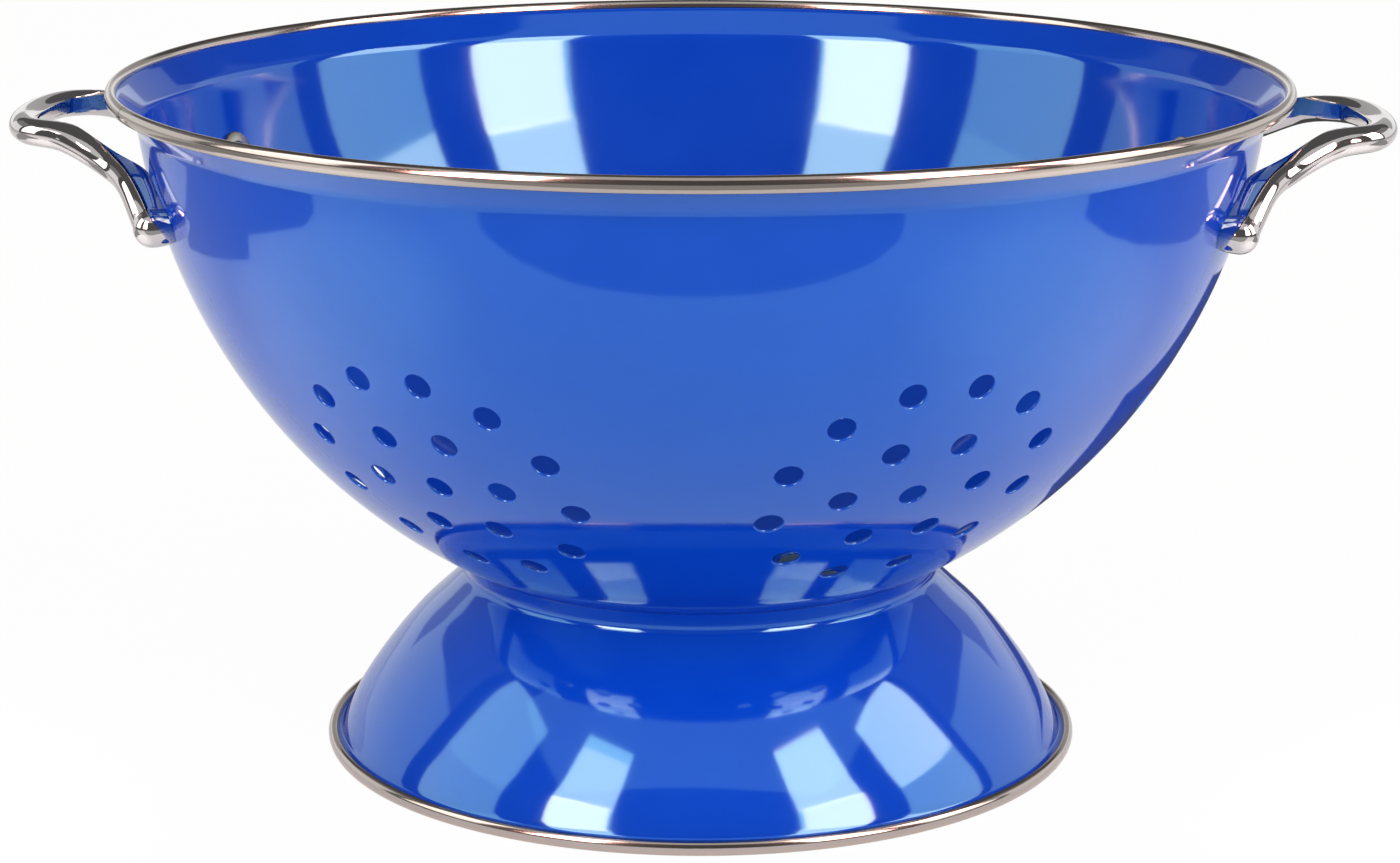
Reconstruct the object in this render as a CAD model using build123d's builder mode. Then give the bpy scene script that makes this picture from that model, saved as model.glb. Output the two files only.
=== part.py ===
from build123d import *
from math import acos, cos, degrees, radians, sin
import os

os.makedirs("parts", exist_ok=True)

# Footed colander: an enamelled bowl and foot, two rolled steel bands, two riveted loop handles.
# Millimetres, +Z up, origin on the table below the middle of the bowl, handles on the X axis.

# Bowl, its floor and side two arcs in section
rim_radius = 140.0  # outside of the rim band
bowl_bottom = 31.0  # lowest point of the bowl above the table
wall = 1.0  # sheet with its enamel
floor_radius = 115.5
floor_turn = 17.4  # degrees that the floor arc turns through
wall_lean = 7.7  # degrees off upright where the side ends and the lip starts
lip_bend = 4.0
lip_lean = 39.3  # degrees off upright at the edge of the lip
lip_run = 8.0  # from the bend to the edge of the lip
outline_steps = 16  # points along the floor and side

# Steel bands, each a slit oval tube
band_width = 2.76
band_height = 3.88
foot_band_height = 3.6
band_sheet = 0.4
band_flat = 0.2  # depth of the flat that the foot band stands on
band_clearance = 0.1  # all round the sheet inside a band
seam_gap = 0.3
rim_seam_angle = 203.0  # degrees round from +X
foot_seam_angle = 90.0

# Foot
foot_radius = 91.9  # outside of the foot band
flange_height = 2.4  # top of the flange at the bottom of the skirt
flange_width = 1.1
flange_bend = 1.4
flange_turn = 60.0  # degrees that the flange bend turns through
join_radius = 61.3  # where the neck meets the bowl
neck_inset = 3.4  # from there in to the start of the neck bend
neck_drop = 6.8  # and down to it
neck_bend = 2.2
neck_turn = 76.0  # degrees that the neck bend turns through
flare_length = 9.0  # neck flare before it is cut to the bowl
seat_gap = 0.05  # between the bowl and what is fixed to it

# Outside of the skirt: shares of the way in and of the way up, from its root to the neck
skirt_shares = ((0.132, 0.208), (0.335, 0.446), (0.581, 0.683), (0.825, 0.868))

# Drain holes: clusters of a middle hole and two rings
hole_diameter = 6.2
inner_ring_radius = 16.7
outer_ring_radius = 32.1
inner_ring_count = 6
outer_ring_count = 12
inner_ring_turn = 2.0  # degrees
outer_ring_turn = 17.0
cluster_count = 6
cluster_drop = 78.6  # from the top of the rim band down to the middle of a side cluster
cluster_turn = -1.75  # degrees round from the handles

# Handles, drawn for the rear half of the right one
foot_angle = 21.2  # degrees from the X axis to each foot
foot_drop = 31.2  # from the top of the rim band down to the ball
foot_standoff = 4.3  # middle of the ball off the wall
ball_diameter = 9.0
tip_standout = 21.4  # middle of the bar at the tip, out from the rim band
tip_drop = 11.8
bar_thickness = 7.2  # across the bar at the tip, level
bar_height = 6.4

# Middle line of the bar, tip to foot: shares of the way out, of the way sideways and of the way up
bar_path_shares = ((0.947, 0.251, 1.04), (0.755, 0.473, 1.05), (0.460, 0.644, 0.881), (0.174, 0.810, 0.540))

# Sections of the bar: share of its length, shares of thickness and height, share cut flat at the back
bar_section_shares = (
    (0.0, 1.00, 1.00, 0.04),
    (0.2, 0.93, 1.00, 0.04),
    (0.4, 0.86, 1.03, 0.06),
    (0.6, 0.81, 1.08, 0.10),
    (0.8, 0.86, 1.18, 0.14),
    (1.0, 1.12, 1.26, 0.16),
)

# Rivets and washers
rivet_rise = 1.6  # above the middle of the ball
shank_diameter = 4.0
shank_depth = 4.6  # into the foot of the handle
shank_clearance = 0.1
wall_hole_clearance = 0.3
head_diameter = 8.6
head_height = 2.2
washer_diameter = 13.5
washer_thickness = 0.9

# Cuts run this far past what they cut
overrun = 2.0

# Places worked out from the sizes above
band_middle = rim_radius - band_width / 2
lip_top, lip_foot = radians(lip_lean), radians(wall_lean)
lip_spread = lip_bend * (cos(lip_foot) - cos(lip_top)) + lip_run * sin(lip_top)
lip_height = lip_bend * (sin(lip_top) - sin(lip_foot)) + lip_run * cos(lip_top)
wall_radius = band_middle - lip_spread
floor_end = radians(floor_turn)
side_radius = (wall_radius - floor_radius * sin(floor_end)) / (cos(lip_foot) - sin(floor_end))
side_middle = Vector(0, bowl_bottom + floor_radius) + Vector(-sin(floor_end), cos(floor_end)) * (
    side_radius - floor_radius
)
lip_start = side_middle.Y - side_radius * sin(lip_foot)
rim_band_middle = lip_start + lip_height
rim_height = rim_band_middle + band_height / 2
foot_band_middle = foot_band_height / 2 - band_flat
seam_turn = degrees(seam_gap / foot_radius)

def bowl_curve(inset):
    """Floor and side of the bowl as one smooth curve, radius across and height up, inset from its outside."""
    points = []
    for number in range(outline_steps + 1):
        angle = (90 - wall_lean) * number / outline_steps
        on_floor = angle < floor_turn
        middle = Vector(0, bowl_bottom + floor_radius) if on_floor else side_middle
        radius = (floor_radius if on_floor else side_radius) - inset
        points.append(middle + Vector(sin(radians(angle)), -cos(radians(angle))) * radius)
    return Spline(*points, tangents=((1, 0), (sin(lip_foot), cos(lip_foot))), tangent_scalars=(1, 1))


def shifted(curve, shift, steps):
    """Copy of an outline, shifted to its left, drawn in the outline that is open."""
    places = [number / steps for number in range(steps + 1)]
    points = [curve @ place + Vector(-(curve % place).Y, (curve % place).X) * shift for place in places]
    return Spline(*points, tangents=(curve % 0, curve % 1), tangent_scalars=(1, 1))


with BuildLine() as wall_outline:
    wall_curve = bowl_curve(0)


def wall_at(value, axis):
    """Point and direction of the wall where its radius (axis 0) or its height (axis 1) has a value."""
    low, high = 0.0, 1.0
    for _ in range(40):
        middle = (low + high) / 2
        if tuple(wall_curve @ middle)[axis] < value:
            low = middle
        else:
            high = middle
    return wall_curve @ low, wall_curve % low


def wall_plane(height, angle):
    """Plane on the outside of the wall, its normal pointing out and its x axis level."""
    point, along = wall_at(height, axis=1)
    turn = radians(angle)
    return Plane(
        origin=(point.X * cos(turn), point.X * sin(turn), height),
        x_dir=(-sin(turn), cos(turn), 0),
        z_dir=(along.Y * cos(turn), along.Y * sin(turn), -along.X),
    )


def turned_section(angle):
    """Upright plane through the Z axis, turned round it."""
    turn = radians(angle)
    return Plane(origin=(0, 0, 0), x_dir=(cos(turn), sin(turn), 0), z_dir=(sin(turn), -cos(turn), 0))


def hole_rings():
    """Two rings of drain holes, drawn in the sketch that is open."""
    with PolarLocations(inner_ring_radius, inner_ring_count, start_angle=inner_ring_turn):
        Circle(hole_diameter / 2)
    with PolarLocations(outer_ring_radius, outer_ring_count, start_angle=outer_ring_turn):
        Circle(hole_diameter / 2)


# Space that the bowl fills, with its seat gap, for cutting back what is fixed to it
with BuildPart() as bowl_space:
    with BuildSketch(Plane.XZ):
        with BuildLine():
            space_curve = bowl_curve(-seat_gap)
            Line(space_curve @ 1, (0, (space_curve @ 1).Y))
            Line((0, (space_curve @ 1).Y), space_curve @ 0)
        make_face()
        with Locations((0, bowl_bottom)):
            Rectangle(hole_diameter, 3 * side_radius, mode=Mode.SUBTRACT)
    revolve(axis=Axis.Z)

# Rivet places, on the outside of the wall
foot_height = rim_height - foot_drop
rivet_planes = {
    "right_front": wall_plane(foot_height + rivet_rise, -foot_angle),
    "right_rear": wall_plane(foot_height + rivet_rise, foot_angle),
    "left_front": wall_plane(foot_height + rivet_rise, 180 + foot_angle),
    "left_rear": wall_plane(foot_height + rivet_rise, 180 - foot_angle),
}

# Bowl
with BuildPart() as bowl:
    with BuildSketch(turned_section(cluster_turn + 180 / cluster_count)) as bowl_section:
        with BuildLine():
            add(wall_curve)
            lip_arc = JernArc(wall_curve @ 1, wall_curve % 1, lip_bend, wall_lean - lip_lean)
            lip_line = Line(lip_arc @ 1, (lip_arc @ 1) + (lip_arc % 1) * lip_run)
            wall_inside = bowl_curve(wall)
            lip_arc_inside = JernArc(wall_inside @ 1, wall_curve % 1, lip_bend + wall, wall_lean - lip_lean)
            lip_line_inside = Line(lip_arc_inside @ 1, (lip_arc_inside @ 1) + (lip_arc % 1) * lip_run)
            Line(lip_line @ 1, lip_line_inside @ 1)
            Line(wall_curve @ 0, wall_inside @ 0)
        make_face()
        with Locations((0, bowl_bottom)):
            Rectangle(hole_diameter, side_radius, mode=Mode.SUBTRACT)
    revolve(axis=Axis.Z)
    punch_depth = wall + (outer_ring_radius + hole_diameter) ** 2 / wall_radius
    for number in range(cluster_count):
        cluster_angle = cluster_turn + number * 360 / cluster_count
        with BuildSketch(wall_plane(rim_height - cluster_drop, cluster_angle).offset(overrun)):
            Circle(hole_diameter / 2)
            hole_rings()
        extrude(amount=-punch_depth - overrun, mode=Mode.SUBTRACT)
    with BuildSketch(Plane.XY.offset(bowl_bottom - overrun)):
        hole_rings()
    extrude(amount=punch_depth + overrun, mode=Mode.SUBTRACT)
    for rivet_plane in rivet_planes.values():
        with BuildSketch(rivet_plane.offset(overrun)):
            Circle(shank_diameter / 2 + wall_hole_clearance)
        extrude(amount=-wall - 2 * overrun, mode=Mode.SUBTRACT)

# Foot: flange, skirt, neck bend and flare, cut to the underside of the bowl
with BuildPart() as foot:
    with BuildSketch(Plane.XZ) as foot_section:
        with BuildLine():
            flange_edge = Vector(foot_radius - band_width / 2, flange_height)
            flange_line = Line(flange_edge, flange_edge - Vector(flange_width, 0))
            flange_arc = JernArc(flange_line @ 1, (-1, 0), flange_bend, -flange_turn)
            root = flange_arc @ 1
            neck = wall_at(join_radius, axis=0)[0] - Vector(neck_inset, neck_drop)
            skirt_curve = Spline(
                root,
                *[
                    (root.X + (neck.X - root.X) * across, root.Y + (neck.Y - root.Y) * up)
                    for across, up in skirt_shares
                ],
                neck,
                tangents=(flange_arc % 1, (-1, 1)),
                tangent_scalars=(1, 1),
            )
            neck_arc = JernArc(neck, skirt_curve % 1, neck_bend, -neck_turn)
            flare_line = Line(neck_arc @ 1, (neck_arc @ 1) + (neck_arc % 1) * flare_length)
            flange_inside = Line(flange_edge - Vector(0, wall), (flange_line @ 1) - Vector(0, wall))
            JernArc(flange_inside @ 1, (-1, 0), flange_bend + wall, -flange_turn)
            skirt_inside = shifted(skirt_curve, wall, steps=8)
            neck_arc_inside = JernArc(skirt_inside @ 1, skirt_curve % 1, neck_bend + wall, -neck_turn)
            flare_inside = Line(neck_arc_inside @ 1, (neck_arc_inside @ 1) + (neck_arc % 1) * flare_length)
            Line(flare_line @ 1, flare_inside @ 1)
            Line(flange_edge, flange_inside @ 0)
        make_face()
    revolve(axis=Axis.Z)
    add(bowl_space.part, mode=Mode.SUBTRACT)

# Rim band: an oval tube slit for the lip, closed by a butt seam
with BuildPart() as rim_band:
    with BuildSketch(turned_section(rim_seam_angle)):
        with Locations((band_middle, rim_band_middle)):
            Ellipse(band_width / 2, band_height / 2)
            Ellipse(band_width / 2 - band_sheet, band_height / 2 - band_sheet, mode=Mode.SUBTRACT)
        offset(bowl_section.sketch_local, amount=band_clearance, mode=Mode.SUBTRACT)
    revolve(axis=Axis.Z, revolution_arc=360 - seam_turn)

# Foot band: the same roll, with a flat to stand on
with BuildPart() as foot_band:
    with BuildSketch(turned_section(foot_seam_angle)):
        with Locations((foot_radius - band_width / 2, foot_band_middle)):
            Ellipse(band_width / 2, foot_band_height / 2)
            Ellipse(band_width / 2 - band_sheet, foot_band_height / 2 - band_sheet, mode=Mode.SUBTRACT)
        offset(foot_section.sketch_local, amount=band_clearance, mode=Mode.SUBTRACT)
        with Locations((foot_radius, 0)):
            Rectangle(2 * band_width, foot_band_height, align=(Align.CENTER, Align.MAX), mode=Mode.SUBTRACT)
    revolve(axis=Axis.Z, revolution_arc=360 - seam_turn)

# Handle: a bar lofted along its middle line, ball ended, cut to the wall and drilled for its rivets
foot_out = wall_at(foot_height, axis=1)[0].X + foot_standoff
foot_point = Vector(foot_out * cos(radians(foot_angle)), foot_out * sin(radians(foot_angle)), foot_height)
tip_point = Vector(rim_radius + tip_standout, 0, rim_height - tip_drop)
with BuildLine() as bar_path:
    bar_curve = Spline(
        tip_point,
        *[
            (
                foot_point.X + (tip_point.X - foot_point.X) * out,
                foot_point.Y * sideways,
                foot_point.Z + (tip_point.Z - foot_point.Z) * up,
            )
            for out, sideways, up in bar_path_shares
        ],
        foot_point,
        tangents=((0, 1, 0), (-2, 4, -5)),
    )

with BuildPart() as handle_right:
    for place, thickness_share, height_share, flat_share in bar_section_shares:
        along = bar_curve % place
        back = Vector(-1, 0, 0) - along * Vector(-1, 0, 0).dot(along)
        thickness = bar_thickness * thickness_share
        with BuildSketch(Plane(origin=bar_curve @ place, x_dir=back, z_dir=along)):
            Ellipse(thickness / 2, bar_height * height_share / 2)
            with Locations((thickness / 2 - thickness * flat_share, 0)):
                Rectangle(thickness, 2 * bar_height, align=(Align.MIN, Align.CENTER), mode=Mode.SUBTRACT)
    loft()
    with Locations(foot_point):
        Sphere(ball_diameter / 2)
    add(bowl_space.part, mode=Mode.SUBTRACT)
    with BuildSketch(rivet_planes["right_rear"].offset(-overrun)):
        Circle(shank_diameter / 2 + shank_clearance)
    extrude(amount=shank_depth + shank_clearance + overrun, mode=Mode.SUBTRACT)
    mirror(about=Plane.XZ)

with BuildPart() as handle_left:
    mirror(handle_right.part, about=Plane.YZ)

# Rivets and washers. The edge of a flat washer rests on the hollow wall, so its middle stands off.
washer_stand = washer_diameter**2 / (8 * wall_at(foot_height, axis=1)[0].X) + seat_gap
head_seat = wall + washer_stand + washer_thickness + seat_gap
dome_radius = (head_diameter**2 / 4 + head_height**2) / (2 * head_height)
rivets = {}
washers = {}
for corner, rivet_plane in rivet_planes.items():
    with BuildPart() as washer:
        with BuildSketch(rivet_plane.offset(-wall - washer_stand)):
            Circle(washer_diameter / 2)
            Circle(shank_diameter / 2 + shank_clearance, mode=Mode.SUBTRACT)
        extrude(amount=-washer_thickness)
        chamfer(washer.edges().filter_by(GeomType.CIRCLE).sort_by(SortBy.RADIUS)[-2:], washer_thickness / 4)
    washers[corner] = washer.part
    head_plane = rivet_plane.offset(-head_seat)
    with BuildPart() as rivet:
        with BuildSketch(head_plane):
            Circle(shank_diameter / 2)
        extrude(amount=head_seat + shank_depth)
        with BuildSketch(Plane(origin=head_plane.origin, x_dir=head_plane.x_dir, z_dir=head_plane.y_dir)):
            with BuildLine():
                Line((0, 0), (head_diameter / 2, 0))
                ThreePointArc(
                    (head_diameter / 2, 0),
                    (dome_radius * sin(acos(1 - head_height / dome_radius / 2)), head_height / 2),
                    (0, head_height),
                )
                Line((0, head_height), (0, 0))
            make_face()
        revolve(axis=Axis(head_plane.origin, head_plane.z_dir))
    rivets[corner] = rivet.part

# Label and write each piece
pieces = {
    "bowl": bowl.part,
    "foot": foot.part,
    "rim_band": rim_band.part,
    "foot_band": foot_band.part,
    "handle_right": handle_right.part,
    "handle_left": handle_left.part,
}
for corner in rivet_planes:
    pieces[f"washer_{corner}"] = washers[corner]
    pieces[f"rivet_{corner}"] = rivets[corner]
for name, piece in pieces.items():
    piece.label = name
    export_step(piece, f"parts/{name}.step")
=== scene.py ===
import math

import bpy
from mathutils import Matrix, Vector


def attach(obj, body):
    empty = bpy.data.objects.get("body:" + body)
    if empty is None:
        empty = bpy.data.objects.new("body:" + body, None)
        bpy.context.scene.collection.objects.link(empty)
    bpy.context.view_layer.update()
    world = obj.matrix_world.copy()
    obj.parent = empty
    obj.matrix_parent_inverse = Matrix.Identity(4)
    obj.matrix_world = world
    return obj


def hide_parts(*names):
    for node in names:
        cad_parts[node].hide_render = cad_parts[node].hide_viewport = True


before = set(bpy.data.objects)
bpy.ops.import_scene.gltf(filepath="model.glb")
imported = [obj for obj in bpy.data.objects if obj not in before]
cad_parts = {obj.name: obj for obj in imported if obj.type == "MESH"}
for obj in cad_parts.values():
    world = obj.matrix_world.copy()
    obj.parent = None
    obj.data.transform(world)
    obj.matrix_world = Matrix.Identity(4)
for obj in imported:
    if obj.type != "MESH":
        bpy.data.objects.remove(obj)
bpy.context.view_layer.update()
mm = 0.001  # the pieces are given in millimetres, the studio in metres
tiny = 0.001 * mm  # closer points are one
gap = 0.05  # left between pieces that are fitted to each other


# helpers for objects
def deselectAll():
    if bpy.context.object and bpy.context.object.mode != "OBJECT":
        bpy.ops.object.mode_set(mode="OBJECT")
    bpy.ops.object.select_all(action="DESELECT")


def activate(piece):
    deselectAll()
    piece.select_set(True)
    bpy.context.view_layer.objects.active = piece


def applyModifiers(piece):
    activate(piece)
    for modifier in list(piece.modifiers):
        bpy.ops.object.modifier_apply(modifier=modifier.name)


def combine(piece, other, operation):
    # welds the other shape to the piece or cuts it away, and uses it up
    boolean = piece.modifiers.new("combine", "BOOLEAN")
    boolean.operation = operation
    boolean.solver = "EXACT"
    boolean.object = other
    applyModifiers(piece)
    bpy.data.objects.remove(other)


def copyOf(piece, name):
    made = piece.copy()
    made.data = piece.data.copy()
    made.name = name
    bpy.context.scene.collection.objects.link(made)
    return made


def joinAll(pieces, name):
    deselectAll()
    for piece in pieces:
        piece.select_set(True)
    bpy.context.view_layer.objects.active = pieces[0]
    bpy.ops.object.join()
    pieces[0].name = name
    return pieces[0]


def standAlong(piece, place, outward):
    # puts a piece at a place with its own Z along a direction
    turned = outward.to_track_quat("Z", "Y").to_matrix().to_4x4()
    piece.matrix_world = Matrix.Translation(place * mm) @ turned


def fixTransforms(piece):
    activate(piece)
    bpy.ops.object.transform_apply(location=True, rotation=True, scale=True)


def smoothBelow(piece, angle):
    # smooth shading, with edges past the angle left sharp
    activate(piece)
    bpy.ops.object.shade_smooth_by_angle(angle=math.radians(angle))


def finishPiece(piece, material, slotName, *replaced):
    piece.data.materials.clear()
    piece.data.materials.append(material)
    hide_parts(*replaced)
    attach(piece, "root")


# helpers for edit mode
def selectVertices(piece, wanted):
    # selects the vertices that pass the test
    bpy.ops.mesh.select_all(action="DESELECT")
    bpy.ops.object.mode_set(mode="OBJECT")
    for vertex in piece.data.vertices:
        vertex.select = wanted(vertex)
    bpy.ops.object.mode_set(mode="EDIT")


def pullSide(piece, least, factor, middle):
    # scales the part of a shape past a line along X
    selectVertices(piece, lambda vertex: vertex.co.x > least)
    bpy.ops.transform.resize(value=(factor, 1, 1), center_override=(middle, 0, 0))


def turnOutwards():
    # makes all faces point outwards and leaves edit mode
    bpy.ops.mesh.select_all(action="SELECT")
    bpy.ops.mesh.normals_make_consistent(inside=False)
    bpy.ops.object.mode_set(mode="OBJECT")


def drawOutline(name, outline, scale=1):
    # one vertex at the first point, extruded from point to point
    deselectAll()
    bpy.ops.mesh.primitive_plane_add(size=mm, location=(0, 0, 0))
    piece = bpy.context.object
    piece.name = name
    bpy.ops.object.mode_set(mode="EDIT")
    bpy.ops.mesh.select_all(action="SELECT")
    bpy.ops.mesh.merge(type="CENTER")
    bpy.ops.transform.translate(value=[value * scale for value in outline[0]])
    for here, there in zip(outline, outline[1:]):
        step = [(after - before) * scale for before, after in zip(here, there)]
        bpy.ops.mesh.extrude_region_move(TRANSFORM_OT_translate={"value": step})
    bpy.ops.mesh.select_all(action="SELECT")
    return piece


def spinOutline(name, outline, steps, closed=False, turn=360, start=0):
    # draws an outline of radius and height, and spins it round Z
    piece = drawOutline(name, [(across, 0, up) for across, up in outline], mm)
    if closed:
        bpy.ops.mesh.remove_doubles(threshold=tiny)
    if start:
        # the operator turns the other way when there is no window
        bpy.ops.transform.rotate(
            value=-math.radians(start), orient_axis="Z", center_override=(0, 0, 0)
        )
    bpy.ops.mesh.spin(steps=steps, angle=math.radians(turn), center=(0, 0, 0), axis=(0, 0, 1))
    bpy.ops.mesh.select_all(action="SELECT")
    bpy.ops.mesh.remove_doubles(threshold=tiny)
    turnOutwards()
    bpy.ops.object.shade_smooth()
    return piece


# helpers for curves
def arcPoints(middle, radius, first, last, steps):
    # angles are from straight down, turning outwards
    turns = [math.radians(first + (last - first) * step / steps) for step in range(steps + 1)]
    return [
        (middle[0] + radius * math.sin(turn), middle[1] - radius * math.cos(turn))
        for turn in turns
    ]


def curveValue(before, here, there, after, share):
    # one axis of a smooth curve on its way from here to there
    linear = (there - before) * share
    square = (2 * before - 5 * here + 4 * there - after) * share**2
    cube = (3 * here - before - 3 * there + after) * share**3
    return 0.5 * (2 * here + linear + square + cube)


def smoothPoints(points, steps):
    # curve through all points, any number of axes
    padded = [points[0], *points, points[-1]]
    found = []
    for around in zip(padded, padded[1:], padded[2:], padded[3:]):
        for step in range(steps):
            found.append(tuple(curveValue(*values, step / steps) for values in zip(*around)))
    return [*found, tuple(points[-1])]


# materials
def newMaterial(name):
    material = bpy.data.materials.new(name)
    material.use_nodes = True
    return material, material.node_tree, material.node_tree.nodes["Principled BSDF"]


def noiseFrom(tree, scale, detail, stretch=None):
    noise = tree.nodes.new("ShaderNodeTexNoise")
    noise.inputs["Scale"].default_value = scale
    noise.inputs["Detail"].default_value = detail
    source = tree.nodes.new("ShaderNodeTexCoord").outputs["Object"]
    if stretch:
        mapping = tree.nodes.new("ShaderNodeMapping")
        mapping.inputs["Scale"].default_value = stretch
        tree.links.new(source, mapping.inputs["Vector"])
        source = mapping.outputs["Vector"]
    tree.links.new(source, noise.inputs["Vector"])
    return noise.outputs["Fac"]


def roughnessFrom(tree, shader, source, low, high):
    spread = tree.nodes.new("ShaderNodeMapRange")
    spread.inputs["To Min"].default_value = low
    spread.inputs["To Max"].default_value = high
    tree.links.new(source, spread.inputs["Value"])
    tree.links.new(spread.outputs["Result"], shader.inputs["Roughness"])


def bumpFrom(tree, shader, source, strength, depth):
    bump = tree.nodes.new("ShaderNodeBump")
    bump.inputs["Strength"].default_value = strength
    bump.inputs["Distance"].default_value = depth * mm
    tree.links.new(source, bump.inputs["Height"])
    tree.links.new(bump.outputs["Normal"], shader.inputs["Normal"])


enamelLook = {
    "deep": (0.0, 0.038, 0.43, 1),
    "light": (0.002, 0.050, 0.48, 1),
    "sheen": (0.40, 1.0, 1.0, 1),  # colour of the reflections
    "roughness": (0.05, 0.09),
    "refraction": 1.85,
    "mottleScale": 60,
    "mottleDetail": 4,
    "waveScale": 110,
    "waveDetail": 2,
    "waveStrength": 0.3,
    "waveDepth": 0.04,
}


def enamelMaterial(name, look):
    material, tree, shader = newMaterial(name)
    mottle = noiseFrom(tree, look["mottleScale"], look["mottleDetail"])
    tint = tree.nodes.new("ShaderNodeMix")
    tint.data_type = "RGBA"
    tint.inputs[6].default_value = look["deep"]  # 6, 7 and output 2 are the colour sockets
    tint.inputs[7].default_value = look["light"]
    tree.links.new(mottle, tint.inputs[0])
    tree.links.new(tint.outputs[2], shader.inputs["Base Color"])
    roughnessFrom(tree, shader, mottle, *look["roughness"])
    shader.inputs["IOR"].default_value = look["refraction"]
    shader.inputs["Specular Tint"].default_value = look["sheen"]
    wave = noiseFrom(tree, look["waveScale"], look["waveDetail"])
    bumpFrom(tree, shader, wave, look["waveStrength"], look["waveDepth"])
    return material


bandLook = {
    "colour": (0.50, 0.44, 0.40, 1),
    "roughness": (0.08, 0.18),
    "grainScale": 50,
    "grainDetail": 3,
    "grainStretch": (1, 1, 60),  # lines that run round the bands
    "grainStrength": 0.15,
    "grainDepth": 0.02,
}
handleLook = {
    "colour": (0.66, 0.62, 0.62, 1),
    "roughness": (0.02, 0.07),
    "grainScale": 90,
    "grainDetail": 3,
    "grainStretch": None,
    "grainStrength": 0.08,
    "grainDepth": 0.05,
}
rivetLook = {
    **handleLook,
    "colour": (0.46, 0.45, 0.40, 1),
    "roughness": (0.15, 0.3),
    "grainScale": 200,
}


def metalMaterial(name, look):
    material, tree, shader = newMaterial(name)
    grain = noiseFrom(tree, look["grainScale"], look["grainDetail"], look["grainStretch"])
    roughnessFrom(tree, shader, grain, *look["roughness"])
    shader.inputs["Base Color"].default_value = look["colour"]
    shader.inputs["Metallic"].default_value = 1
    bumpFrom(tree, shader, grain, look["grainStrength"], look["grainDepth"])
    return material


enamel = enamelMaterial("cobalt enamel", enamelLook)
bandSteel = metalMaterial("band steel", bandLook)
polishedSteel = metalMaterial("polished handle", handleLook)
rivetSteel = metalMaterial("rivet steel", rivetLook)
print("materials ready")

# bowl: an arc for the floor, an arc for the side and a lip that bends out into the rim band
bowl = {
    "rimRadius": 140.0,
    "bottom": 31.0,
    "wall": 1.0,
    "floorRadius": 115.5,
    "floorTurn": 17.4,  # where the floor ends, in degrees from straight down
    "wallLean": 7.7,  # from upright, at the top of the side
    "lipBend": 4.0,
    "lipLean": 39.3,
    "lipRun": 8.0,
    "runShares": (0.25, 0.5, 0.75, 1),
    "bandWidth": 2.76,
    "bandHeight": 3.88,
    "floorSteps": 12,
    "sideSteps": 48,
    "bendSteps": 8,
    "spinSteps": 288,
    "spaceSteps": 240,  # of the shape that cuts other pieces back to the bowl
}
floorEnd = math.radians(bowl["floorTurn"])
wallLean = math.radians(bowl["wallLean"])
lipLean = math.radians(bowl["lipLean"])
bendSpread = bowl["lipBend"] * (math.cos(wallLean) - math.cos(lipLean))
lipSpread = bendSpread + bowl["lipRun"] * math.sin(lipLean)
wallRadius = bowl["rimRadius"] - bowl["bandWidth"] / 2 - lipSpread
sideRadius = (wallRadius - bowl["floorRadius"] * math.sin(floorEnd)) / (
    math.cos(wallLean) - math.sin(floorEnd)
)
middleShift = sideRadius - bowl["floorRadius"]
floorMiddle = (0, bowl["bottom"] + bowl["floorRadius"])
sideMiddle = (
    -middleShift * math.sin(floorEnd),
    floorMiddle[1] + middleShift * math.cos(floorEnd),
)


def wallOutline(inset):
    # from the middle of the floor to the top of the side
    floor = arcPoints(
        floorMiddle, bowl["floorRadius"] - inset, 0, bowl["floorTurn"], bowl["floorSteps"]
    )
    side = arcPoints(
        sideMiddle,
        sideRadius - inset,
        bowl["floorTurn"],
        90 - bowl["wallLean"],
        bowl["sideSteps"],
    )
    return [*floor, *side[1:]]


def bowlOutline(inset):
    # from the middle of the floor to the edge of the lip
    wall = wallOutline(inset)
    bend = bowl["lipBend"] + inset
    bendMiddle = (
        wall[-1][0] + bend * math.cos(wallLean),
        wall[-1][1] - bend * math.sin(wallLean),
    )
    lip = []
    for step in range(1, bowl["bendSteps"] + 1):
        share = (bowl["lipLean"] - bowl["wallLean"]) * step / bowl["bendSteps"]
        lean = math.radians(bowl["wallLean"] + share)
        lip.append((bendMiddle[0] - bend * math.cos(lean), bendMiddle[1] + bend * math.sin(lean)))
    across, up = lip[-1]
    for share in bowl["runShares"]:
        length = share * bowl["lipRun"]
        lip.append((across + length * math.sin(lipLean), up + length * math.cos(lipLean)))
    return [*wall, *lip]


rimHeight = bowlOutline(0)[-1][1] + bowl["bandHeight"] / 2


def bowlSpace(outline, top):
    # what the bowl and the room in it take up, to cut other pieces with
    return spinOutline("bowl_space", [*outline, (0, top)], bowl["spaceSteps"])


def wallHeight(radius):
    # height of the outside of the side at a radius
    across = radius - sideMiddle[0]
    return sideMiddle[1] - math.sqrt(sideRadius**2 - across**2)


def wallPoint(height):
    # radius of the outside at a height, and the way that the surface runs there
    down = sideMiddle[1] - height
    radius = sideMiddle[0] + math.sqrt(sideRadius**2 - down**2)
    return radius, Vector((down, radius - sideMiddle[0])) / sideRadius


def wallFrame(height, angle):
    # middle, level axis, rising axis and outward axis on the outside of the wall
    radius, along = wallPoint(height)
    turn = math.radians(angle)
    middle = Vector((radius * math.cos(turn), radius * math.sin(turn), height))
    level = Vector((-math.sin(turn), math.cos(turn), 0))
    rising = Vector((along[0] * math.cos(turn), along[0] * math.sin(turn), along[1]))
    outward = Vector((along[1] * math.cos(turn), along[1] * math.sin(turn), -along[0]))
    return middle, level, rising, outward


def arcAt(radius):
    # middle and radius of the arc that the wall follows at a radius
    if radius < bowl["floorRadius"] * math.sin(floorEnd):
        return floorMiddle, bowl["floorRadius"]
    return sideMiddle, sideRadius


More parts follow.
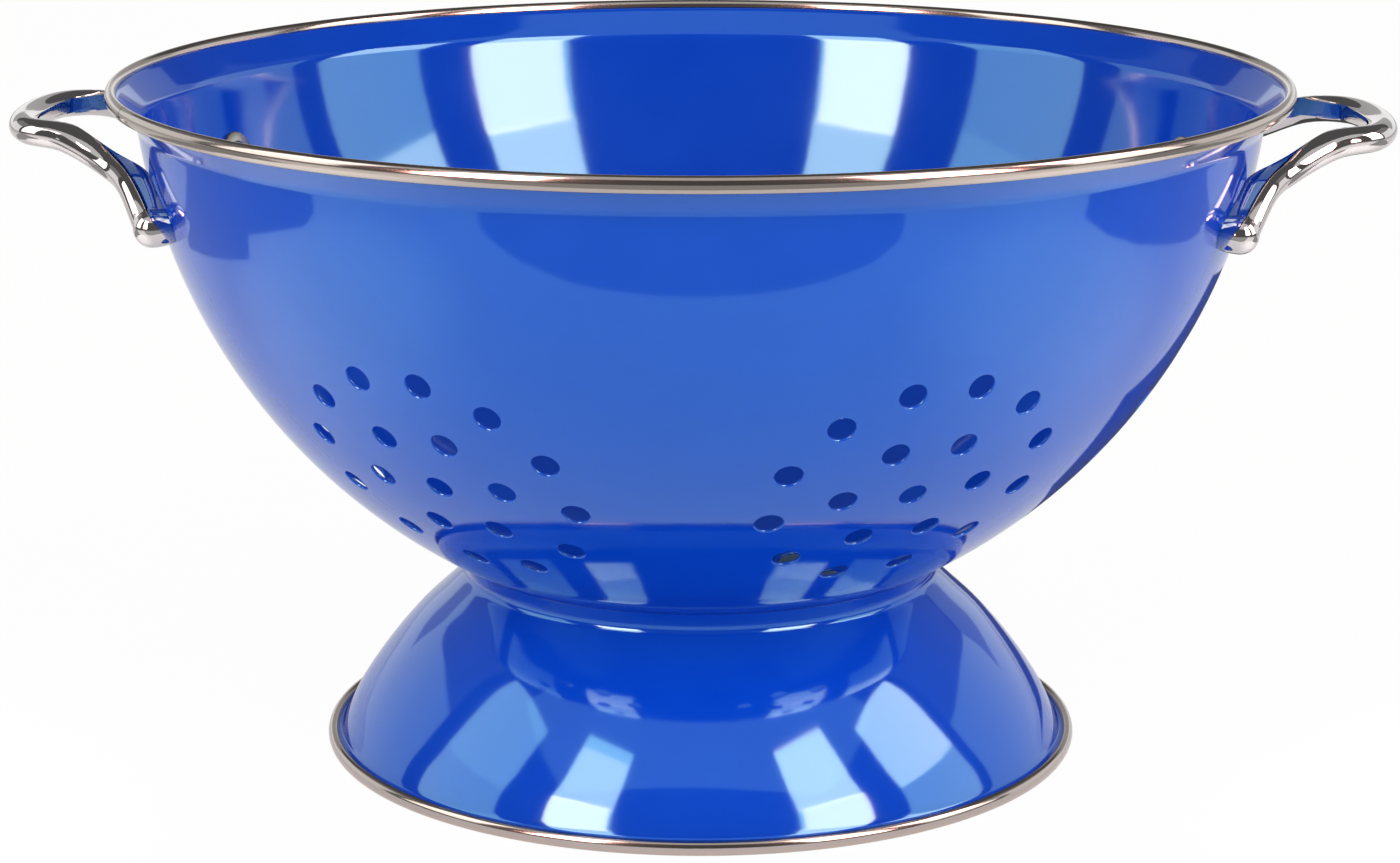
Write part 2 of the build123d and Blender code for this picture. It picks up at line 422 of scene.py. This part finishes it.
straightDown = Vector((0, 0, -1))
closingSteps = 12  # enough for onWall to settle


def onWall(point, direction):
    # moves a point along a direction to the outside of the bowl, and gives the way out there
    for _ in range(closingSteps):
        radius = math.hypot(point.x, point.y)
        middle, full = arcAt(radius)
        away = Vector((radius - middle[0], point.z - middle[1]))
        outward = straightDown
        if radius > 0.01:
            outward = Vector(
                (point.x / radius * away[0], point.y / radius * away[0], away[1])
            ).normalized()
        point = point - direction * (away.length - full) / outward.dot(direction)
    return point, outward


holes = {
    "radius": 3.1,
    "edgeReach": 0.6,  # rounding of the enamel at the edge, across and through
    "edgeDepth": 0.52,
    "edgeSteps": 8,
    "flareReach": 0.6,  # how the cutter widens past the wall
    "flareRise": 0.15,
    "cutterHalf": 1.6,
    "segments": 28,
    "rings": ((6, 16.7, 2.0), (12, 32.1, 17.0)),  # count, radius and turn
    "clusters": 6,
    "clusterTurn": -1.75,
    "clusterDrop": 78.6,  # below the rim
}


def holeSpots():
    spots = [(0, 0)]
    for count, radius, turn in holes["rings"]:
        for number in range(count):
            angle = math.radians(turn + number * 360 / count)
            spots.append((radius * math.cos(angle), radius * math.sin(angle)))
    return spots


def holePlaces():
    # the clusters round the side, then the one in the floor
    places = []
    for number in range(holes["clusters"]):
        angle = holes["clusterTurn"] + number * 360 / holes["clusters"]
        middle, level, rising, outward = wallFrame(rimHeight - holes["clusterDrop"], angle)
        for across, up in holeSpots():
            places.append(onWall(middle + level * across + rising * up, outward))
    for across, up in holeSpots():
        places.append(onWall(Vector((across, up, bowl["bottom"])), straightDown))
    return places


def holeCutterOutline():
    # the shape that a rounded hole leaves free, its axis along the hole
    half = bowl["wall"] / 2
    edge = []
    for step in range(holes["edgeSteps"] + 1):
        height = -half + bowl["wall"] * step / holes["edgeSteps"]
        rounding = 1 - math.sqrt(1 - (height / holes["edgeDepth"]) ** 2)
        edge.append((holes["radius"] + holes["edgeReach"] * rounding, height))
    wide, rise = edge[-1][0] + holes["flareReach"], half + holes["flareRise"]
    end = holes["cutterHalf"]
    return [(0, -end), (wide, -end), (wide, -rise), *edge, (wide, rise), (wide, end), (0, end)]


shellOutline = [*bowlOutline(0), *reversed(bowlOutline(bowl["wall"]))]
shell = spinOutline("bowl_shell", shellOutline, bowl["spinSteps"])
uncut = copyOf(shell, "bowl_uncut")

holeCutter = spinOutline("hole_cutter", holeCutterOutline(), holes["segments"])
cutters = []
for point, outward in holePlaces():
    cutter = copyOf(holeCutter, "cutter")
    standAlong(cutter, point - outward * bowl["wall"] / 2, outward)
    cutters.append(cutter)
bpy.data.objects.remove(holeCutter)

rivets = {
    "angle": 21.6,  # from the middle of a handle
    "drop": 29.2,  # below the rim
    "shankRadius": 2.0,
    "shankReach": 4.0,  # past the outside of the wall
    "holeRadius": 2.3,
    "holeVertices": 24,
    "cutterDepth": 6,
    "headRadius": 4.3,
    "headHeight": 2.2,
    "domeSteps": 12,
    "spinSteps": 48,
    "smoothAngle": 30,
}
corners = {
    "right_front": -rivets["angle"],
    "right_rear": rivets["angle"],
    "left_front": 180 + rivets["angle"],
    "left_rear": 180 - rivets["angle"],
}
rivetFrames = {
    corner: wallFrame(rimHeight - rivets["drop"], angle) for corner, angle in corners.items()
}
for middle, _, _, outward in rivetFrames.values():
    deselectAll()
    bpy.ops.mesh.primitive_cylinder_add(
        vertices=rivets["holeVertices"],
        radius=rivets["holeRadius"] * mm,
        depth=rivets["cutterDepth"] * mm,
    )
    cutter = bpy.context.object
    standAlong(cutter, middle, outward)
    cutters.append(cutter)
combine(shell, joinAll(cutters, "all_cutters"), "DIFFERENCE")
print("bowl cut", len(shell.data.polygons))


def keepWallNormals(piece, source):
    # the cut wall takes the smooth normals of the uncut one
    near = 0.03
    onSurface = []
    for vertex in piece.data.vertices:
        place = vertex.co / mm
        radius = math.hypot(place.x, place.y)
        middle, full = arcAt(radius)
        away = math.hypot(radius - middle[0], place.z - middle[1]) - full
        if abs(away) < near or abs(away + bowl["wall"]) < near:
            onSurface.append(vertex.index)
    piece.vertex_groups.new(name="wall").add(onSurface, 1, "REPLACE")
    transfer = piece.modifiers.new("wall normals", "DATA_TRANSFER")
    transfer.object = source
    transfer.use_loop_data = True
    transfer.data_types_loops = {"CUSTOM_NORMAL"}
    transfer.loop_mapping = "POLYINTERP_NEAREST"
    transfer.vertex_group = "wall"
    applyModifiers(piece)
    bpy.data.objects.remove(source)


activate(shell)
bpy.ops.object.shade_smooth()
keepWallNormals(shell, uncut)
finishPiece(shell, enamel, "enamel", "bowl")
print("bowl ready")

# foot
foot = {
    "radius": 91.9,
    "flangeHeight": 2.4,
    "flangeWidth": 1.1,
    "flangeBend": 1.4,
    "flangeTurn": 60.0,
    "flangeSteps": 5,
    # inwards and upwards from the flange to the neck
    "skirtShares": ((0.132, 0.208), (0.335, 0.446), (0.581, 0.683), (0.825, 0.868)),
    "skirtSteps": 5,
    "joinRadius": 61.3,  # where it meets the bowl
    "neckInset": 3.4,
    "neckDrop": 6.8,
    "neckBend": 2.2,
    "neckLean": -45,  # from upright, where the neck starts to turn out
    "neckTurn": 76.0,
    "neckSteps": 8,
    "flareRuns": (2, 4, 6.5),
    "spaceTop": 150,
    "spinSteps": 240,
    "smoothAngle": 35,
    "bandHeight": 3.6,
    "bandFlat": 0.2,  # what the band lacks of its round below
}


def offsetPoints(points, inset):
    moved = []
    for number, here in enumerate(points):
        before, after = points[max(number - 1, 0)], points[min(number + 1, len(points) - 1)]
        way = Vector((after[0] - before[0], after[1] - before[1])).normalized()
        moved.append((here[0] - way[1] * inset, here[1] + way[0] * inset))
    return moved


def footOutline(inset):
    # flange, skirt, neck bend and flare up to the bowl
    edge = foot["radius"] - bowl["bandWidth"] / 2
    bendMiddle = (edge - foot["flangeWidth"], foot["flangeHeight"] + foot["flangeBend"])
    bend = arcPoints(
        bendMiddle, foot["flangeBend"] + inset, 0, -foot["flangeTurn"], foot["flangeSteps"]
    )
    root = arcPoints(bendMiddle, foot["flangeBend"], 0, -foot["flangeTurn"], 1)[-1]
    neck = (
        foot["joinRadius"] - foot["neckInset"],
        wallHeight(foot["joinRadius"]) - foot["neckDrop"],
    )
    skirt = [root]
    for across, up in foot["skirtShares"]:
        skirt.append((root[0] + (neck[0] - root[0]) * across, root[1] + (neck[1] - root[1]) * up))
    skirt = offsetPoints(smoothPoints([*skirt, neck], foot["skirtSteps"]), inset)
    shift = foot["neckBend"] * math.sqrt(0.5)
    turnMiddle = (neck[0] + shift, neck[1] + shift)
    reach = foot["neckBend"] + inset
    curl = []
    for step in range(1, foot["neckSteps"] + 1):
        lean = math.radians(foot["neckLean"] + foot["neckTurn"] * step / foot["neckSteps"])
        across, up = turnMiddle[0] - reach * math.cos(lean), turnMiddle[1] + reach * math.sin(lean)
        curl.append((across, up))
    flare = [
        (across + length * math.sin(lean), up + length * math.cos(lean))
        for length in foot["flareRuns"]
    ]
    return [(edge, foot["flangeHeight"] - inset), *bend, *skirt[1:], *curl, *flare]


outer, inner = footOutline(0), footOutline(bowl["wall"])
skirtPiece = spinOutline(
    "foot_skirt", [*outer, *reversed(inner), outer[0]], foot["spinSteps"], closed=True
)
combine(skirtPiece, bowlSpace(wallOutline(-gap), foot["spaceTop"]), "DIFFERENCE")
smoothBelow(skirtPiece, foot["smoothAngle"])
finishPiece(skirtPiece, enamel, "enamel", "foot")
print("foot ready")

# steel bands: oval tubes, slit along the inside and butted at a seam
rimBand = {
    "sheet": 0.4,
    "mouth": 26,  # half of the slit
    "mouthTurn": -127,
    "seamAngle": 203.0,
    "seamGap": 0.3,
    "outlineSteps": 40,
    "spinSteps": 360,
}
footBand = {**rimBand, "mouth": 30, "mouthTurn": 180, "seamAngle": 90.0, "spinSteps": 300}


def bandOutline(band, middle, height):
    # outside round from one side of the slit to the other, then back inside
    halfWidth, halfHeight = bowl["bandWidth"] / 2, height / 2
    outside, inside = [], []
    for step in range(band["outlineSteps"] + 1):
        swept = (360 - 2 * band["mouth"]) * step / band["outlineSteps"]
        angle = math.radians(band["mouthTurn"] + band["mouth"] + swept)
        across, up = math.cos(angle), math.sin(angle)
        # never below the table, so the foot band is flat where it stands
        outside.append((middle[0] + across * halfWidth, max(middle[1] + up * halfHeight, 0)))
        inside.append(
            (
                middle[0] + across * (halfWidth - band["sheet"]),
                middle[1] + up * (halfHeight - band["sheet"]),
            )
        )
    return [*outside, *reversed(inside), outside[0]]


def addBand(name, band, radius, middleHeight, height):
    outline = bandOutline(band, (radius - bowl["bandWidth"] / 2, middleHeight), height)
    turn = 360 - math.degrees(band["seamGap"] / radius)
    return spinOutline(name, outline, band["spinSteps"], True, turn, band["seamAngle"])


rimMiddleHeight = rimHeight - bowl["bandHeight"] / 2
rimPiece = addBand("rim_steel", rimBand, bowl["rimRadius"], rimMiddleHeight, bowl["bandHeight"])
finishPiece(rimPiece, bandSteel, "band_steel", "rim_band")
footMiddleHeight = foot["bandHeight"] / 2 - foot["bandFlat"]
footPiece = addBand("foot_steel", footBand, foot["radius"], footMiddleHeight, foot["bandHeight"])
finishPiece(footPiece, bandSteel, "band_steel", "foot_band")
print("bands ready")

# handles
handle = {
    "footAngle": 22.3,
    "footDrop": 28.4,  # below the rim
    "footStandoff": 3.9,
    "ball": 8.8,
    "ballSegments": 32,
    "ballRings": 20,
    "padStretch": 1.9,  # of the ball towards the wall
    "tipStandout": 20.9,
    "tipDrop": 11.2,
    "half": 3.7,
    "halfHeight": 3.25,
    # from the tip to the foot: outward, sideward and upward share of the way between them
    "pathShares": (
        (0.904, 0.382, 1.006),
        (0.632, 0.522, 0.953),
        (0.344, 0.645, 0.652),
        (0.155, 0.815, 0.447),
    ),
    "pathSteps": 8,
    # share of the length; outward, inward and upward size as shares; roundness left at the back
    "sections": (
        (0.0, 1.00, 1.00, 1.00, 0.90),
        (0.28, 0.94, 0.94, 0.985, 0.82),
        (0.45, 0.85, 0.86, 0.975, 0.70),
        (0.65, 0.76, 0.80, 0.90, 0.60),
        (0.81, 0.94, 1.22, 0.92, 0.58),
        (0.90, 1.04, 1.38, 0.94, 0.62),
        (1.0, 1.11, 1.30, 0.96, 0.70),
    ),
    "sectionSteps": 6,
    "ringVertices": 32,
    "spaceTop": 170,
    "smoothAngle": 40,
}


def handlePath():
    # from the tip of the loop to its foot
    footHeight = rimHeight - handle["footDrop"]
    out = wallPoint(footHeight)[0] + handle["footStandoff"]
    turn = math.radians(handle["footAngle"])
    footPoint = Vector((out * math.cos(turn), out * math.sin(turn), footHeight))
    tipPoint = Vector((bowl["rimRadius"] + handle["tipStandout"], 0, rimHeight - handle["tipDrop"]))
    path = [tuple(tipPoint)]
    for outShare, side, up in handle["pathShares"]:
        path.append(
            (
                footPoint.x + (tipPoint.x - footPoint.x) * outShare,
                footPoint.y * side,
                footPoint.z + (tipPoint.z - footPoint.z) * up,
            )
        )
    path.append(tuple(footPoint))
    mirrored = (path[1][0], -path[1][1], path[1][2])
    return smoothPoints([mirrored, *path], handle["pathSteps"])[handle["pathSteps"] :]


def sectionAt(share):
    table = smoothPoints(handle["sections"], handle["sectionSteps"])
    for before, after in zip(table, table[1:]):
        if share <= after[0]:
            part = (share - before[0]) / (after[0] - before[0])
            return [low + (high - low) * part for low, high in zip(before[1:], after[1:])]
    return list(table[-1][1:])


def addSection(middle, along, front, back, up, roundness):
    # one ring of the bar, drawn flat with its back at +X, pressed flat there, then put in place
    deselectAll()
    bpy.ops.mesh.primitive_circle_add(vertices=handle["ringVertices"], radius=1)
    ring = bpy.context.object
    front, back = front * handle["half"] * mm, back * handle["half"] * mm
    bpy.ops.object.mode_set(mode="EDIT")
    bpy.ops.transform.resize(value=(front, up * handle["halfHeight"] * mm, 1))
    pullSide(ring, tiny, back / front / roundness, 0)
    pullSide(ring, back, 0, back)
    bpy.ops.object.mode_set(mode="OBJECT")
    toBowl = Vector((-1, 0, 0))
    inward = toBowl - along * along.dot(toBowl)
    inward.normalize()
    turned = Matrix((inward, along.cross(inward), along)).transposed().to_4x4()
    ring.matrix_world = Matrix.Translation(Vector(middle) * mm) @ turned
    fixTransforms(ring)
    return ring


def bridgeRings(bar, count):
    # a skin from each ring to the next, and a cap on the last
    ringVertices = handle["ringVertices"]
    bpy.ops.object.mode_set(mode="EDIT")
    bpy.ops.mesh.select_mode(type="VERT")
    for number in range(count - 1):
        pair = range(number * ringVertices, (number + 2) * ringVertices)
        selectVertices(bar, lambda vertex, pair=pair: vertex.index in pair)
        bpy.ops.mesh.select_mode(type="EDGE")
        bpy.ops.mesh.bridge_edge_loops()
        bpy.ops.mesh.select_mode(type="VERT")
    selectVertices(bar, lambda vertex: vertex.index >= (count - 1) * ringVertices)
    bpy.ops.mesh.edge_face_add()
    turnOutwards()


def addBall(footPoint, side):
    # the ball end of one foot, stretched towards the wall
    deselectAll()
    bpy.ops.mesh.primitive_uv_sphere_add(
        segments=handle["ballSegments"],
        ring_count=handle["ballRings"],
        radius=handle["ball"] / 2 * mm,
    )
    ball = bpy.context.object
    bpy.ops.object.mode_set(mode="EDIT")
    pullSide(ball, tiny, handle["padStretch"], 0)
    bpy.ops.object.mode_set(mode="OBJECT")
    place = Vector((footPoint[0], side * footPoint[1], footPoint[2])) * mm
    inward = Matrix.Rotation(math.pi + side * math.radians(handle["footAngle"]), 4, "Z")
    ball.matrix_world = Matrix.Translation(place) @ inward
    return ball


def makeHandle():
    path = handlePath()
    length = [0]
    for here, there in zip(path, path[1:]):
        length.append(length[-1] + (Vector(there) - Vector(here)).length)
    rings = []
    for number, here in enumerate(path):
        before, after = path[max(number - 1, 0)], path[min(number + 1, len(path) - 1)]
        along = (Vector(after) - Vector(before)).normalized()
        if number == 0:
            along = Vector((0, 1, 0))
        rings.append(addSection(here, along, *sectionAt(length[number] / length[-1])))
    bar = joinAll(rings, "loop_right")
    bridgeRings(bar, len(path))
    mirror = bar.modifiers.new("other half", "MIRROR")
    mirror.use_axis = (False, True, False)
    mirror.merge_threshold = 0.01 * mm
    applyModifiers(bar)
    for side in (1, -1):
        combine(bar, addBall(path[-1], side), "UNION")
    combine(bar, bowlSpace(bowlOutline(-gap), handle["spaceTop"]), "DIFFERENCE")
    smoothBelow(bar, handle["smoothAngle"])
    return bar


rightHandle = makeHandle()
leftHandle = copyOf(rightHandle, "loop_left")
activate(leftHandle)
bpy.ops.transform.mirror(constraint_axis=(True, False, False), center_override=(0, 0, 0))
fixTransforms(leftHandle)
bpy.ops.object.mode_set(mode="EDIT")
turnOutwards()
finishPiece(rightHandle, polishedSteel, "polished_handle", "handle_right")
finishPiece(leftHandle, polishedSteel, "polished_handle", "handle_left")
print("handles ready")

# washers and rivets
washers = {
    "radius": 6.75,
    "thickness": 0.9,
    "boreGap": 0.1,
    # how the rim is rounded: outwards and along, from the outer and from the inner face
    "outerEdge": ((-0.1, 0), (0, -0.12)),
    "innerEdge": ((0, 0.25), (-0.1, 0.1), (-0.28, 0)),
    "spinSteps": 64,
}


def washerOutline():
    bore, thick = rivets["shankRadius"] + washers["boreGap"], washers["thickness"]
    outerEdge = [(washers["radius"] + across, up) for across, up in washers["outerEdge"]]
    innerEdge = [(washers["radius"] + across, -thick + up) for across, up in washers["innerEdge"]]
    return [(bore, 0), *outerEdge, *innerEdge, (bore, -thick), (bore, 0)]


def rivetOutline(seatDepth):
    # dome inside the bowl and shank through the wall
    radius, height = rivets["headRadius"], rivets["headHeight"]
    domeRadius = (radius**2 + height**2) / (2 * height)
    domeTurn = math.degrees(math.asin(radius / domeRadius))
    domeMiddle = (0, -seatDepth - height + domeRadius)
    dome = arcPoints(domeMiddle, domeRadius, 0, domeTurn, rivets["domeSteps"])
    shank, end = rivets["shankRadius"], rivets["shankReach"]
    return [*dome, (shank, -seatDepth), (shank, end), (0, end)]


def seatOn(piece, place, outward, name):
    made = copyOf(piece, name)
    standAlong(made, place, outward)
    fixTransforms(made)
    return made


# the flat washer stands off the round wall by the depth of the arc below it
footWallRadius = wallPoint(rimHeight - handle["footDrop"])[0]
standOff = washers["radius"] ** 2 / (2 * footWallRadius) + gap
seatDepth = bowl["wall"] + standOff + washers["thickness"] + gap
washer = spinOutline("washer", washerOutline(), washers["spinSteps"], closed=True)
smoothBelow(washer, rivets["smoothAngle"])
rivet = spinOutline("rivet", rivetOutline(seatDepth), rivets["spinSteps"])
smoothBelow(rivet, rivets["smoothAngle"])
for corner, (middle, _, _, outward) in rivetFrames.items():
    inside = middle - outward * (bowl["wall"] + standOff)
    made = seatOn(washer, inside, outward, f"washer_dressed_{corner}")
    finishPiece(made, rivetSteel, "rivet_steel", f"washer_{corner}")
    made = seatOn(rivet, middle, outward, f"rivet_dressed_{corner}")
    finishPiece(made, rivetSteel, "rivet_steel", f"rivet_{corner}")
bpy.data.objects.remove(washer)
bpy.data.objects.remove(rivet)
print("rivets ready")

# studio, in metres
studio = {
    "floorSize": 12,
    "floorColour": (0.86, 0.86, 0.86, 1),
    "floorRoughness": 0.9,
    "cameraGlow": 0.96,  # share of plain white that the camera sees in the floor
    "mirrorGlow": 0.35,  # the same for reflections
    "skyStrength": 0.2,
    "lampColour": (1.0, 0.95, 0.92),
    "coreColour": (1.0, 0.38, 0.32),
    # azimuth from the camera side, height range, width, distance, brightness
    "lamps": {
        "windowRight": (45, (0.24, 1.35), 0.46, 1.1, 4.6),
        "windowLeft": (-37.5, (0.24, 1.35), 0.42, 1.1, 4.4),
        "sideRight": (84, (0.22, 0.62), 0.62, 1.25, 2.3),
        "sideLeft": (-80, (0.22, 0.62), 0.66, 1.25, 2.1),
        "sideHighRight": (84, (0.62, 1.3), 0.62, 1.25, 4.2),
        "sideHighLeft": (-80, (0.62, 1.3), 0.66, 1.25, 2.6),
    },
    # bright parts of the windows that only reflections see
    "cores": {
        "coreRight": (46, (0.26, 0.62), 0.42, 1.05, 15.0),
        "coreLeft": (-38, (0.26, 0.64), 0.38, 1.05, 17.0),
        "tallRight": (45, (0.62, 1.35), 0.44, 1.08, 6.5),
        "tallLeft": (-37.5, (0.64, 1.2), 0.40, 1.08, 5.0),
        "highRight": (84, (0.62, 1.28), 0.60, 1.23, 4.0),
    },
    # soft lamps that reflections don't see: place, width and height, brightness
    "fills": {
        "front": ((0, -1.5, 1.05), (1.8, 1.2), 2.2),
        "rear": ((0, 1.6, 1.2), (1.8, 1.2), 1.8),
    },
    "fillAim": (0, 0, 0.05),
    # light on the table beside the bowl, which the bowl mirrors: place, cone, power
    "pools": {
        "poolLeft": ((-0.29, -0.1, 1.3), 17, 60),
        "poolRight": ((0.29, -0.1, 1.3), 17, 60),
    },
    "poolLampRadius": 0.02,
}


def addMath(tree, operation, *values):
    # each value is a number or the socket that it comes from
    node = tree.nodes.new("ShaderNodeMath")
    node.operation = operation
    for socket, value in zip(node.inputs, values):
        if isinstance(value, bpy.types.NodeSocket):
            tree.links.new(value, socket)
        else:
            socket.default_value = value
    return node.outputs[0]


def mixShaders(tree, share, first, second, target):
    mix = tree.nodes.new("ShaderNodeMixShader")
    for source, socket in zip((share, first, second), mix.inputs):
        tree.links.new(source, socket)
    tree.links.new(mix.outputs[0], target)


deselectAll()
bpy.ops.mesh.primitive_plane_add(size=studio["floorSize"], location=(0, 0, 0))
floor = bpy.context.object
floor.name = "studio_floor"
paper, tree, shader = newMaterial("white paper")
shader.inputs["Base Color"].default_value = studio["floorColour"]
shader.inputs["Roughness"].default_value = studio["floorRoughness"]
shader.inputs["Specular IOR Level"].default_value = 0
glow = tree.nodes.new("ShaderNodeEmission")
rays = tree.nodes.new("ShaderNodeLightPath")
mirrored = addMath(tree, "MULTIPLY", rays.outputs["Is Glossy Ray"], studio["mirrorGlow"])
share = addMath(
    tree, "MULTIPLY_ADD", rays.outputs["Is Camera Ray"], studio["cameraGlow"], mirrored
)
surface = tree.nodes["Material Output"].inputs["Surface"]
mixShaders(tree, share, shader.outputs[0], glow.outputs[0], surface)
floor.data.materials.append(paper)

world = bpy.data.worlds.new("studio")
bpy.context.scene.world = world
world.use_nodes = True
tree = world.node_tree
tree.nodes.clear()
sky = tree.nodes.new("ShaderNodeBackground")
sky.inputs["Strength"].default_value = studio["skyStrength"]
white = tree.nodes.new("ShaderNodeBackground")
white.inputs["Color"].default_value = (1, 1, 1, 1)
rays = tree.nodes.new("ShaderNodeLightPath")
seen = addMath(tree, "MAXIMUM", rays.outputs["Is Camera Ray"], rays.outputs["Is Glossy Ray"])
seen = addMath(tree, "MAXIMUM", seen, rays.outputs["Is Transmission Ray"])
surface = tree.nodes.new("ShaderNodeOutputWorld").inputs["Surface"]
mixShaders(tree, seen, sky.outputs[0], white.outputs[0], surface)


def addLamp(name, place, aim, wide, high, brightness, colour):
    deselectAll()
    bpy.ops.object.light_add(type="AREA", location=place)
    lamp = bpy.context.object
    lamp.name = name
    lamp.data.shape = "RECTANGLE"
    lamp.data.size, lamp.data.size_y = wide, high
    lamp.data.energy = brightness * math.pi * wide * high
    lamp.data.color = colour
    lamp.rotation_euler = (Vector(aim) - Vector(place)).to_track_quat("-Z", "Y").to_euler()
    lamp.visible_camera = False
    return lamp


for group, colour in (("lamps", studio["lampColour"]), ("cores", studio["coreColour"])):
    for name, (azimuth, (low, high), wide, away, brightness) in studio[group].items():
        turn = math.radians(azimuth)
        place = (away * math.sin(turn), -away * math.cos(turn), (low + high) / 2)
        lamp = addLamp(name, place, (0, 0, place[2]), wide, high - low, brightness, colour)
        lamp.visible_diffuse = group == "lamps"
for name, (place, (wide, high), brightness) in studio["fills"].items():
    lamp = addLamp(name, place, studio["fillAim"], wide, high, brightness, studio["lampColour"])
    lamp.visible_glossy = False
for name, (place, cone, power) in studio["pools"].items():
    deselectAll()
    bpy.ops.object.light_add(type="SPOT", location=place)
    lamp = bpy.context.object
    lamp.name = name
    lamp.data.spot_size = math.radians(cone)
    lamp.data.spot_blend = 1
    lamp.data.energy = power
    lamp.data.shadow_soft_size = studio["poolLampRadius"]
    lamp.visible_camera = lamp.visible_glossy = False

# grey cards that only reflections see: the room past the edges of the table, and a painted shadow
# of the bowl on the floor behind it
room = {
    "cardLift": 0.001,
    # grey level and outline, flat on the floor
    "floorCards": {
        "frontFloor": (
            0.42,
            (
                (-2.4, -2.4),
                (-0.29, -0.357),
                (-0.217, -0.317),
                (-0.164, -0.297),
                (-0.1, -0.286),
                (0.1, -0.283),
                (0.17, -0.288),
                (0.225, -0.311),
                (0.274, -0.357),
                (2.4, -2.4),
            ),
        ),
        "leftFloor": (
            0.38,
            (
                (-2.4, 0.24),
                (-0.347, 0.235),
                (-0.346, 0.02),
                (-0.392, 0.013),
                (-0.39, -0.11),
                (-0.42, -0.142),
                (-2.4, -0.142),
            ),
        ),
        "rightFloor": (
            0.36,
            (
                (2.4, 0.26),
                (0.387, 0.227),
                (0.369, 0.14),
                (0.37, 0),
                (0.381, -0.061),
                (0.414, -0.115),
                (2.4, -0.16),
            ),
        ),
        # a dark card that paints the bowl's own shadow on the floor behind it, to the right
        "paintedShadowCard": (
            0.08,
            (
                (0.125, 0.08),
                (0.19, 0.09),
                (0.215, 0.18),
                (0.27, 0.32),
                (0.22, 0.5),
                (0.05, 0.5),
                (0.08, 0.2),
            ),
        ),
    },
    # grey level and two opposite corners
    "wallCards": {
        "frontWall": (0.1, (-2.4, -2.4, 0), (2.4, -2.4, 2.4)),
        "leftWall": (0.1, (-2.4, -2.4, 0), (-2.4, 0.6, 2.4)),
        "rightWall": (0.1, (2.4, -2.4, 0), (2.4, 0.6, 2.4)),
        "frontCeiling": (0.7, (-2.4, -2.4, 2.4), (2.4, -0.3, 2.4)),
        "rearCeiling": (0.1, (-2.4, -0.3, 2.4), (2.4, 3, 2.4)),
        "backTop": (0.1, (-2.4, 3, 1.3), (2.4, 3, 2.4)),
        "leftRear": (0.25, (-2.4, 0.6, 1.3), (-2.4, 3, 2.4)),
        "rightRear": (0.25, (2.4, 0.6, 1.3), (2.4, 3, 2.4)),
        "backMiddle": (0.45, (-2.4, 3, 0.6), (2.4, 3, 1.3)),
    },
}


def rectangle(low, high):
    # the four corners between two opposite ones, which share one coordinate
    first, second = [axis for axis in range(3) if low[axis] != high[axis]]
    corners = []
    for farFirst, farSecond in ((0, 0), (1, 0), (1, 1), (0, 1)):
        corner = list(low)
        corner[first] = high[first] if farFirst else low[first]
        corner[second] = high[second] if farSecond else low[second]
        corners.append(corner)
    return corners


def addCard(name, level, outline):
    card = drawOutline(name, [*outline, outline[0]])
    bpy.ops.mesh.remove_doubles(threshold=0.1 * mm)
    bpy.ops.mesh.select_all(action="SELECT")
    bpy.ops.mesh.edge_face_add()
    bpy.ops.object.mode_set(mode="OBJECT")
    grey, _, shader = newMaterial(name)
    shader.inputs["Base Color"].default_value = (0, 0, 0, 1)
    shader.inputs["Specular IOR Level"].default_value = 0
    shader.inputs["Emission Color"].default_value = (1, 1, 1, 1)
    shader.inputs["Emission Strength"].default_value = level
    card.data.materials.append(grey)
    card.visible_camera = card.visible_diffuse = False
    card.visible_shadow = card.visible_transmission = False
    return card


for name, (level, outline) in room["floorCards"].items():
    addCard(name, level, [(*corner, room["cardLift"]) for corner in outline])
for name, (level, low, high) in room["wallCards"].items():
    addCard(name, level, rectangle(low, high))

view = {
    "location": (0.02665, -0.85286, 0.28905),
    "down": 14.07,
    "turn": 1.8,
    "lens": 92.92,
    "sensorWidth": 36,
    "clip": (0.01, 50),
}
deselectAll()
bpy.ops.object.camera_add(
    location=view["location"],
    rotation=(math.radians(90 - view["down"]), 0, math.radians(view["turn"])),
)
camera = bpy.context.object
camera.data.lens = view["lens"]
camera.data.sensor_width = view["sensorWidth"]
camera.data.sensor_fit = "HORIZONTAL"
camera.data.clip_start, camera.data.clip_end = view["clip"]
bpy.context.scene.camera = camera
bpy.context.scene.view_settings.view_transform = "Standard"
print("studio ready")
